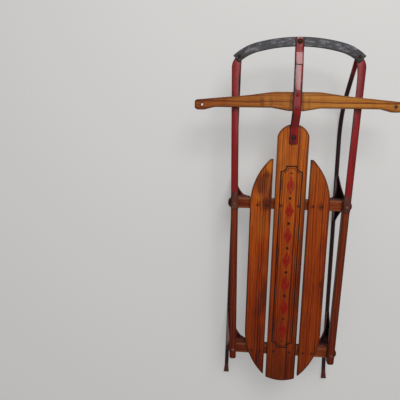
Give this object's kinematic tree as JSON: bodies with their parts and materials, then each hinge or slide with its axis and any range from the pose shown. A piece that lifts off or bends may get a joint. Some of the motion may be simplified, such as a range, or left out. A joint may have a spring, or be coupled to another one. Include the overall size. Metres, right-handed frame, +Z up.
{
  "type": "steerable runner sled",
  "caption": "Child's sled: slatted wooden deck on steel runners, with a wooden steering bar that bends the runner fronts.",
  "frame": {"origin": "on the floor, midway between the bumper's front and the runners' tails, on the middle line", "axes": "+X to the front, +Y to the left, +Z up"},
  "size_m": [1.0267, 0.523, 0.1827],
  "materials": {
    "deck_wood": "old varnish, dark grain",
    "bar_wood": "worn honey varnish",
    "red_enamel": "worn red enamel on steel",
    "dark_steel": "dark enamel with rust",
    "bumper_steel": "dull mottled grey steel",
    "bolt_steel": "dark oxidised steel"
  },
  "bodies": {
    "frame": {"centre_slat": "deck_wood", "left_slat": "deck_wood", "right_slat": "deck_wood", "front_bench": "deck_wood", "rear_bench": "deck_wood", "left_rail": "deck_wood", "right_rail": "deck_wood", "front_left_knee": "dark_steel", "front_right_knee": "dark_steel", "rear_left_knee": "dark_steel", "rear_right_knee": "dark_steel", "left_runner": "dark_steel", "right_runner": "dark_steel", "front_left_bolt": "bolt_steel", "front_right_bolt": "bolt_steel", "rear_left_bolt": "bolt_steel", "rear_right_bolt": "bolt_steel", "pivot_bolt": "bolt_steel"},
    "steering": {"steering_bar": "bar_wood", "steering_iron": "red_enamel", "rear_bar_bolt": "bolt_steel", "front_bar_bolt": "bolt_steel"},
    "left_bow": {"left_bow": "red_enamel", "left_bumper_rivet": "bolt_steel"},
    "right_bow": {"right_bow": "red_enamel", "right_bumper_rivet": "bolt_steel"},
    "bumper": {"bumper": "bumper_steel", "bumper_bolt": "bolt_steel"}
  },
  "joints": [
    {"name": "steering_pivot", "type": "hinge", "parent": "frame", "child": "steering", "pos_m": [0.264, 0, 0.152], "axis": [0, 0, 1], "range_deg": [-8, 8], "stiffness_Nm_per_rad": 20},
    {"name": "left_bow_flex", "type": "hinge", "parent": "frame", "child": "left_bow", "pos_m": [0.081, 0.1495, 0.157], "axis": [0, 0, 1], "range_deg": [-5, 5]},
    {"name": "right_bow_flex", "type": "hinge", "parent": "frame", "child": "right_bow", "pos_m": [0.081, -0.1495, 0.157], "axis": [0, 0, 1], "range_deg": [-5, 5]},
    {"name": "bumper_pivot", "type": "hinge", "parent": "left_bow", "child": "bumper", "pos_m": [0.466, 0.1498, 0.16], "axis": [0, 0, 1], "range_deg": [-5, 5]}
  ],
  "couplings": [
    {"joint": "left_bow_flex", "follows": "steering_pivot", "ratio": 0.619},
    {"joint": "right_bow_flex", "follows": "steering_pivot", "ratio": 0.619},
    {"joint": "bumper_pivot", "follows": "steering_pivot", "ratio": -0.619}
  ]
}
